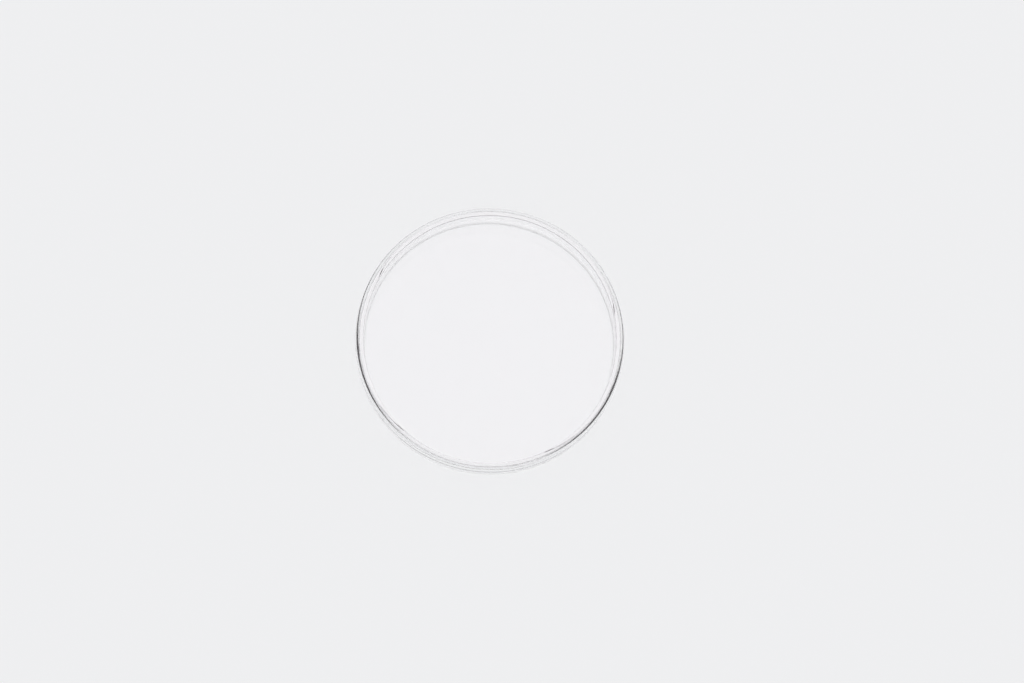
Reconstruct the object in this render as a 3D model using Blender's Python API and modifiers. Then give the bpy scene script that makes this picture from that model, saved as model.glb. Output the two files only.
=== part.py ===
"""A clear glass culture dish: a shallow round base and a loose lid that drops over it.

Both pieces are turned shapes around the Z axis.
The base stands on z = 0. The lid rests on the base's rim and lifts straight off.
"""
import math

import bmesh
import bpy

# ---- driving dimensions, in metres ----
LID_RADIUS = 0.0450  # outside of the lid's skirt
LID_TOP_Z = 0.0134  # height of the closed dish
LID_SKIRT = 0.0091  # height of the lid
LID_WALL = 0.0014
LID_PLATE = 0.00085
LID_CORNER = 0.0028  # outside radius where the plate turns into the skirt
LID_INNER_CORNER = 0.00015

BASE_RADIUS = 0.0433  # outside of the base's wall
BASE_WALL = 0.0012
BASE_FLOOR = 0.0013
BASE_CORNER = 0.0001  # outside radius under the wall
BASE_INNER_CORNER = 0.0007

LID_EDGE = 0.00025  # radius on the skirt's open edge
RIM_EDGE = 0.0002  # radius on the base's rim
GAP = 0.0003  # between the lid's plate and the base's rim

SEGMENTS = 96
CORNER_STEPS = 6
EDGE_STEPS = 3

# ---- worked out ----
UNDER_PLATE_Z = LID_TOP_Z - LID_PLATE
RIM_Z = UNDER_PLATE_Z - GAP
LID_BOTTOM_Z = LID_TOP_Z - LID_SKIRT


def clear_scene():
    for obj in list(bpy.data.objects):
        bpy.data.objects.remove(obj, do_unlink=True)


def new_collection(name):
    collection = bpy.data.collections.new(name)
    bpy.context.scene.collection.children.link(collection)
    return collection


def clear_glass(name, color, roughness):
    material = bpy.data.materials.new(name)
    material.use_nodes = True
    shader = material.node_tree.nodes["Principled BSDF"]
    shader.inputs["Base Color"].default_value = (*color, 1.0)
    shader.inputs["Roughness"].default_value = roughness
    shader.inputs["Metallic"].default_value = 0.0
    shader.inputs["Transmission Weight"].default_value = 1.0
    shader.inputs["IOR"].default_value = 1.474
    return material


def arc(x, z, radius, start, end, steps):
    """Points of a round corner about (x, z), from one angle to another, in degrees."""
    angles = [math.radians(start + (end - start) * i / steps) for i in range(steps + 1)]
    return [(x + radius * math.cos(a), z + radius * math.sin(a)) for a in angles]


def lid_profile():
    """From the axis across the top, down the skirt, round its edge and back under the plate."""
    edge_z = LID_BOTTOM_Z + LID_EDGE
    inner = LID_RADIUS - LID_WALL
    points = [(0.0, LID_TOP_Z)]
    points += arc(LID_RADIUS - LID_CORNER, LID_TOP_Z - LID_CORNER, LID_CORNER, 90, 0, CORNER_STEPS)
    points += arc(LID_RADIUS - LID_EDGE, edge_z, LID_EDGE, 0, -90, EDGE_STEPS)
    points += arc(inner + LID_EDGE, edge_z, LID_EDGE, -90, -180, EDGE_STEPS)
    corner = (inner - LID_INNER_CORNER, UNDER_PLATE_Z - LID_INNER_CORNER)
    points += arc(*corner, LID_INNER_CORNER, 0, 90, EDGE_STEPS)
    points += [(0.0, UNDER_PLATE_Z)]
    return points


def base_profile():
    """From the axis across the floor, up the inside, over the rim, down and back underneath."""
    inner = BASE_RADIUS - BASE_WALL
    rim_z = RIM_Z - RIM_EDGE
    corner = (inner - BASE_INNER_CORNER, BASE_FLOOR + BASE_INNER_CORNER)
    points = [(0.0, BASE_FLOOR)]
    points += arc(*corner, BASE_INNER_CORNER, -90, 0, CORNER_STEPS)
    points += arc(inner + RIM_EDGE, rim_z, RIM_EDGE, 180, 90, EDGE_STEPS)
    points += arc(BASE_RADIUS - RIM_EDGE, rim_z, RIM_EDGE, 90, 0, EDGE_STEPS)
    points += arc(BASE_RADIUS - BASE_CORNER, BASE_CORNER, BASE_CORNER, 0, -90, EDGE_STEPS)
    points += [(0.0, 0.0)]
    return points


def turned(name, points, material, collection):
    """Turn a profile in the XZ plane about Z with a Screw modifier."""
    mesh = bpy.data.meshes.new(name)
    builder = bmesh.new()
    corners = [builder.verts.new((x, 0.0, z)) for x, z in points]
    for a, b in zip(corners, corners[1:]):
        builder.edges.new((a, b))
    builder.to_mesh(mesh)
    builder.free()
    obj = bpy.data.objects.new(name, mesh)
    collection.objects.link(obj)
    screw = obj.modifiers.new("turn", "SCREW")
    screw.axis = "Z"
    screw.angle = 2 * math.pi
    screw.steps = SEGMENTS
    screw.render_steps = SEGMENTS
    screw.use_merge_vertices = True
    screw.merge_threshold = 0.00001
    screw.use_smooth_shade = True
    mesh.materials.append(material)
    return obj


def main():
    clear_scene()
    dish = new_collection("culture_dish")
    turned("dish_base", base_profile(), clear_glass("base_glass", (0.93, 0.93, 0.94), 0.04), dish)
    turned("dish_lid", lid_profile(), clear_glass("lid_glass", (0.94, 0.94, 0.95), 0.04), dish)


main()
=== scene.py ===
"""A closed clear glass culture dish on a pale floor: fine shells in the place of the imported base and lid."""
import math

import bmesh
import bpy
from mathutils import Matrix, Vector

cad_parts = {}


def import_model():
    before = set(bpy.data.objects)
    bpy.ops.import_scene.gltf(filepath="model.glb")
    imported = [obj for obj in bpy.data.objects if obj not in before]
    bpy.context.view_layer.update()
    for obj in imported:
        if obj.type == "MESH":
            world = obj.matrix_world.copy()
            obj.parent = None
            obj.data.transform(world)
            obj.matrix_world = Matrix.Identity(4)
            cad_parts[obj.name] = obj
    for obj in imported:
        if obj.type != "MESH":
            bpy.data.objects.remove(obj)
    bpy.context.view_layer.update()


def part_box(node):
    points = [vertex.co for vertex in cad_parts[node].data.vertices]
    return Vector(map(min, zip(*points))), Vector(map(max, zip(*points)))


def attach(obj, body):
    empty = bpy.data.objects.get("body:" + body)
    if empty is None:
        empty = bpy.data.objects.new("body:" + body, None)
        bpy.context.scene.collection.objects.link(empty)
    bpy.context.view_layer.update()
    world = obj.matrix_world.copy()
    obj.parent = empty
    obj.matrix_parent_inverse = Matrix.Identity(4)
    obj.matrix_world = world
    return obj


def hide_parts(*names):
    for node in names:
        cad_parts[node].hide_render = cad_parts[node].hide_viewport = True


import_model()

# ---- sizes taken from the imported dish, in metres ----
BASE_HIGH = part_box("dish_base")[1]
LID_LOW, LID_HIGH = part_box("dish_lid")
LID_RADIUS = LID_HIGH.x
LID_TOP_Z = LID_HIGH.z
LID_BOTTOM_Z = LID_LOW.z
BASE_RADIUS = BASE_HIGH.x
RIM_Z = BASE_HIGH.z

# ---- the dish's own sizes, as the CAD has them ----
LID_WALL = 0.0014
LID_PLATE = 0.00085
LID_CORNER = 0.0028  # outside radius where the plate turns into the skirt
LID_INNER_CORNER = 0.00015
LID_EDGE = 0.00025  # radius on the skirt's open edge
BASE_WALL = 0.0012
BASE_FLOOR = 0.0013
BASE_CORNER = 0.0001  # outside radius under the wall
BASE_INNER_CORNER = 0.0007
RIM_EDGE = 0.0002  # radius on the base's rim

# ---- mesh fineness ----
SEGMENTS = 384
ARC_STEPS = 8
SUPPORT = 0.00008  # how close the extra points lie that keep long stretches flat
LONG_STRETCH = 8 * SUPPORT  # shorter ones get no extra points

# ---- the glass ----
IOR = 1.474
CLEAR_A = (0.992, 0.992, 0.996, 1.0)  # the two near-white tones that it drifts between
CLEAR_B = (0.998, 0.998, 1.0, 1.0)
DRIFT_SCALE = 30.0
SOFT, DETAILED = 1.0, 2.0  # octaves of a noise
GLINT_TINT = (1.0, 0.84, 0.92, 1.0)  # of what the surface reflects
EDGE_TINT = (0.75, 0.5, 0.6, 1.0)  # of what travels far inside the glass
EDGE_DENSITY = 2.0

# ---- its surface: slow waviness, faint pressing rings and handling hairlines ----
RIPPLE_SCALE = 120.0
RIPPLE_SEED = 3.0  # a step from the piece's seed, as the other seeds here are
RING_SCALE = 700.0
RING_WOBBLE = 0.8
RING_HEIGHT = 0.015  # against the waviness, which is 1
HAIRLINE_DEPTH = 0.08
HAIRLINE_ROUGHNESS = 0.25
HAIRLINE_STRETCH = (1.0, 0.06, 1.0)
HAIRLINE_WOBBLE = 0.3
HAIRLINE_WIDTH = 0.006  # in levels of the noise that it follows
HAIRLINES = ((0.4, 900.0, 0.0), (-1.1, 700.0, 5.0))  # turn in radians, fineness and seed step of each set
PATCH_SCALE = 90.0
PATCH_SEED = 7.0
PATCH_FROM, PATCH_TO = 0.52, 0.66  # levels of the noise between which the hairlines set in
BUMP_STRENGTH = 0.3
BUMP_DISTANCE = 0.00002

# ---- camera ----
CAMERA_TILT = math.radians(12.46)
CAMERA_TURN = math.radians(12.0)
CAMERA_DISTANCE = 0.6411
CAMERA_LENS = 66.35
CAMERA_SENSOR = 36.0
CAMERA_CLIP = 0.01
CAMERA_AIM = Vector((0.00781, 0.00135, 0.0))

# ---- studio ----
FLOOR_SIZE = 6.0
FLOOR_COLOR = (0.86, 0.865, 0.875, 1.0)
FLOOR_ROUGHNESS = 0.9
FLOOR_SPECULAR = 0.1
FLOOR_Z = -0.0003
SKY_STRENGTH = 1.10
SKY_DARK_BELOW = 0.28  # sine of the height where the soft light begins
SKY_BRIGHT_ABOVE = 0.49
SKY_LOW = (0.40, 0.39, 0.40, 1.0)
SKY_HIGH = (1.0, 1.0, 1.0, 1.0)


# ---- shells ----
def arc(x, z, radius, start, end):
    """Points of a round corner about (x, z), from one angle to another, in degrees."""
    angles = [math.radians(start + (end - start) * i / ARC_STEPS) for i in range(ARC_STEPS + 1)]
    return [(x + radius * math.cos(a), z + radius * math.sin(a)) for a in angles]


def lid_profile():
    """From the axis across the top, down the skirt, round its edge and back under the plate."""
    under = LID_TOP_Z - LID_PLATE
    edge_z = LID_BOTTOM_Z + LID_EDGE
    inner = LID_RADIUS - LID_WALL
    points = [(0.0, LID_TOP_Z)]
    points += arc(LID_RADIUS - LID_CORNER, LID_TOP_Z - LID_CORNER, LID_CORNER, 90, 0)
    points += arc(LID_RADIUS - LID_EDGE, edge_z, LID_EDGE, 0, -90)
    points += arc(inner + LID_EDGE, edge_z, LID_EDGE, -90, -180)
    points += arc(inner - LID_INNER_CORNER, under - LID_INNER_CORNER, LID_INNER_CORNER, 0, 90)
    points += [(0.0, under)]
    return points


def base_profile():
    """From the axis across the floor, up the inside, over the rim, down and back underneath."""
    inner = BASE_RADIUS - BASE_WALL
    rim_z = RIM_Z - RIM_EDGE
    corner = (inner - BASE_INNER_CORNER, BASE_FLOOR + BASE_INNER_CORNER)
    points = [(0.0, BASE_FLOOR)]
    points += arc(*corner, BASE_INNER_CORNER, -90, 0)
    points += arc(inner + RIM_EDGE, rim_z, RIM_EDGE, 180, 90)
    points += arc(BASE_RADIUS - RIM_EDGE, rim_z, RIM_EDGE, 90, 0)
    points += arc(BASE_RADIUS - BASE_CORNER, BASE_CORNER, BASE_CORNER, 0, -90)
    points += [(0.0, 0.0)]
    return points


def with_support(points):
    """Adds a point close to each end of every long stretch, so that smooth shading keeps it flat."""
    out = [points[0]]
    for a, b in zip(points, points[1:]):
        run = math.dist(a, b)
        if run > LONG_STRETCH:
            t = SUPPORT / run
            out.append((a[0] + (b[0] - a[0]) * t, a[1] + (b[1] - a[1]) * t))
            out.append((b[0] + (a[0] - b[0]) * t, b[1] + (a[1] - b[1]) * t))
        out.append(b)
    return out


def turned(name, points):
    """A closed mesh: the profile's points turned round the axis, with one point at each end of it."""
    builder = bmesh.new()
    last = len(points) - 1
    poles = {k: builder.verts.new((0, 0, points[k][1])) for k in (0, last)}
    columns = []
    for i in range(SEGMENTS):
        angle = 2 * math.pi * i / SEGMENTS
        across, along = math.cos(angle), math.sin(angle)
        columns.append([poles.get(k) or builder.verts.new((x * across, x * along, z))
                        for k, (x, z) in enumerate(points)])
    for here, there in zip(columns, columns[1:] + columns[:1]):
        for k in range(last):
            corners = [here[k], here[k + 1], there[k + 1], there[k]]
            corners = [v for i, v in enumerate(corners) if v not in corners[:i]]
            builder.faces.new(corners).smooth = True
    bmesh.ops.recalc_face_normals(builder, faces=builder.faces)
    mesh = bpy.data.meshes.new(name)
    builder.to_mesh(mesh)
    builder.free()
    obj = bpy.data.objects.new(name, mesh)
    bpy.context.scene.collection.objects.link(obj)
    return obj


# ---- glass ----
class Nodes:
    """Short calls that add one node to a material or world and link its inputs."""

    def __init__(self, tree):
        self.tree = tree

    def add(self, kind, inputs=(), **settings):
        node = self.tree.nodes.new(kind)
        for key, value in settings.items():
            setattr(node, key, value)
        self.feed(node, inputs)
        return node

    def feed(self, node, inputs):
        """Gives each named input a value, or a link where the value is another node's output."""
        for name, value in dict(inputs).items():
            if isinstance(value, bpy.types.NodeSocket):
                self.tree.links.new(value, node.inputs[name])
            else:
                node.inputs[name].default_value = value

    def math(self, operation, a, b=0.0):
        return self.add("ShaderNodeMath", {0: a, 1: b}, operation=operation).outputs[0]

    def map_range(self, value, low, high, to_low, to_high):
        inputs = {"Value": value, "From Min": low, "From Max": high, "To Min": to_low, "To Max": to_high}
        return self.add("ShaderNodeMapRange", inputs).outputs[0]

    def noise(self, place, seed, scale, detail, wobble=0.0):
        inputs = {"Vector": place, "W": seed, "Scale": scale, "Detail": detail, "Distortion": wobble}
        return self.add("ShaderNodeTexNoise", inputs, noise_dimensions="4D").outputs["Fac"]

    def blend(self, factor, low, high):
        """A colour between two, by a factor from 0 to 1."""
        mix = self.add("ShaderNodeMix", {"Factor": factor}, data_type="RGBA")
        mix.inputs["A"].default_value = low
        mix.inputs["B"].default_value = high
        return mix.outputs["Result"]


def hairlines(nodes, place, turn, scale, seed):
    """1 on a hairline and 0 elsewhere: the thin level lines of a stretched noise, kept in patches."""
    stretch = nodes.add("ShaderNodeMapping",
                        {"Vector": place, "Rotation": (0, 0, turn), "Scale": HAIRLINE_STRETCH})
    lines = nodes.noise(stretch.outputs[0], seed, scale, SOFT, HAIRLINE_WOBBLE)
    level = nodes.math("ABSOLUTE", nodes.math("SUBTRACT", lines, 0.5))
    thin = nodes.map_range(level, 0.0, HAIRLINE_WIDTH, 1.0, 0.0)
    patch = nodes.noise(place, seed + PATCH_SEED, PATCH_SCALE, DETAILED)
    return nodes.math("MULTIPLY", thin, nodes.map_range(patch, PATCH_FROM, PATCH_TO, 0.0, 1.0))


def clear_glass(name, seed):
    """Clear glass with a lightly worked surface and a trace of mauve where light travels far inside it."""
    material = bpy.data.materials.new(name)
    material.use_nodes = True
    nodes = Nodes(material.node_tree)
    place = nodes.add("ShaderNodeTexCoord").outputs["Object"]
    color = nodes.blend(nodes.noise(place, seed, DRIFT_SCALE, DETAILED), CLEAR_A, CLEAR_B)

    ripple = nodes.noise(place, seed + RIPPLE_SEED, RIPPLE_SCALE, SOFT)
    rings = nodes.add("ShaderNodeTexWave", {"Vector": place, "Scale": RING_SCALE, "Distortion": RING_WOBBLE},
                      wave_type="RINGS", rings_direction="Z").outputs["Fac"]
    marks = nodes.math("MAXIMUM", *(hairlines(nodes, place, turn, scale, seed + step)
                                    for turn, scale, step in HAIRLINES))
    height = nodes.math("ADD", ripple, nodes.math("MULTIPLY", rings, RING_HEIGHT))
    height = nodes.math("SUBTRACT", height, nodes.math("MULTIPLY", marks, HAIRLINE_DEPTH))
    bump = nodes.add("ShaderNodeBump",
                     {"Height": height, "Strength": BUMP_STRENGTH, "Distance": BUMP_DISTANCE})

    shader = material.node_tree.nodes["Principled BSDF"]
    nodes.feed(shader, {
        "Base Color": color,
        "Roughness": nodes.math("MULTIPLY", marks, HAIRLINE_ROUGHNESS),
        "Normal": bump.outputs[0],
        "Transmission Weight": 1.0,
        "IOR": IOR,
        "Specular Tint": GLINT_TINT,
    })

    # rays that leave a matt surface, and shadow rays, pass straight through the glass
    path = nodes.add("ShaderNodeLightPath")
    clear = nodes.add("ShaderNodeBsdfTransparent").outputs[0]
    bounced = nodes.add("ShaderNodeMixShader", {0: path.outputs["Is Diffuse Ray"], 1: shader.outputs[0], 2: clear})
    lit = nodes.add("ShaderNodeMixShader", {0: path.outputs["Is Shadow Ray"], 1: bounced.outputs[0], 2: clear})
    body = nodes.add("ShaderNodeVolumeAbsorption", {"Color": EDGE_TINT, "Density": EDGE_DENSITY})
    nodes.feed(material.node_tree.nodes["Material Output"], {"Surface": lit.outputs[0], "Volume": body.outputs[0]})
    return material


# ---- studio ----
def floor():
    bpy.ops.mesh.primitive_plane_add(size=FLOOR_SIZE, location=(0, 0, FLOOR_Z))
    plane = bpy.context.object
    plane.name = "floor"
    material = bpy.data.materials.new("floor")
    material.use_nodes = True
    shader = material.node_tree.nodes["Principled BSDF"]
    shader.inputs["Base Color"].default_value = FLOOR_COLOR
    shader.inputs["Roughness"].default_value = FLOOR_ROUGHNESS
    shader.inputs["Specular IOR Level"].default_value = FLOOR_SPECULAR
    plane.data.materials.append(material)


def world():
    """A soft white sky that dims to grey towards the horizon, so that clear edges read dark."""
    sky = bpy.data.worlds.new("studio")
    sky.use_nodes = True
    nodes = Nodes(sky.node_tree)
    direction = nodes.add("ShaderNodeTexCoord").outputs["Generated"]
    up = nodes.add("ShaderNodeSeparateXYZ", {0: direction}).outputs["Z"]
    glow = nodes.blend(nodes.map_range(up, SKY_DARK_BELOW, SKY_BRIGHT_ABOVE, 0.0, 1.0), SKY_LOW, SKY_HIGH)
    nodes.feed(sky.node_tree.nodes["Background"], {"Color": glow, "Strength": SKY_STRENGTH})
    bpy.context.scene.world = sky
    bpy.context.scene.view_settings.view_transform = "Standard"  # keeps the pale tones apart


def camera():
    data = bpy.data.cameras.new("camera")
    data.lens = CAMERA_LENS
    data.sensor_width = CAMERA_SENSOR
    data.clip_start = CAMERA_CLIP
    cam = bpy.data.objects.new("camera", data)
    bpy.context.scene.collection.objects.link(cam)
    side = math.sin(CAMERA_TILT)
    back = Vector((-math.sin(CAMERA_TURN) * side, -math.cos(CAMERA_TURN) * side, math.cos(CAMERA_TILT)))
    cam.location = CAMERA_AIM + back * CAMERA_DISTANCE
    cam.rotation_mode = "QUATERNION"
    cam.rotation_quaternion = Vector((0, 0, 1)).rotation_difference(back)
    bpy.context.scene.camera = cam


base_shell = turned("base_shell", with_support(base_profile()))
lid_shell = turned("lid_shell", with_support(lid_profile()))
for piece, body, node, slot, seed in (
    (base_shell, "base", "dish_base", "base_glass", 1.0),
    (lid_shell, "lid", "dish_lid", "lid_glass", 21.0),
):
    piece.data.materials.append(clear_glass(slot, seed))
    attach(piece, body)
    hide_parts(node)

floor()
world()
camera()
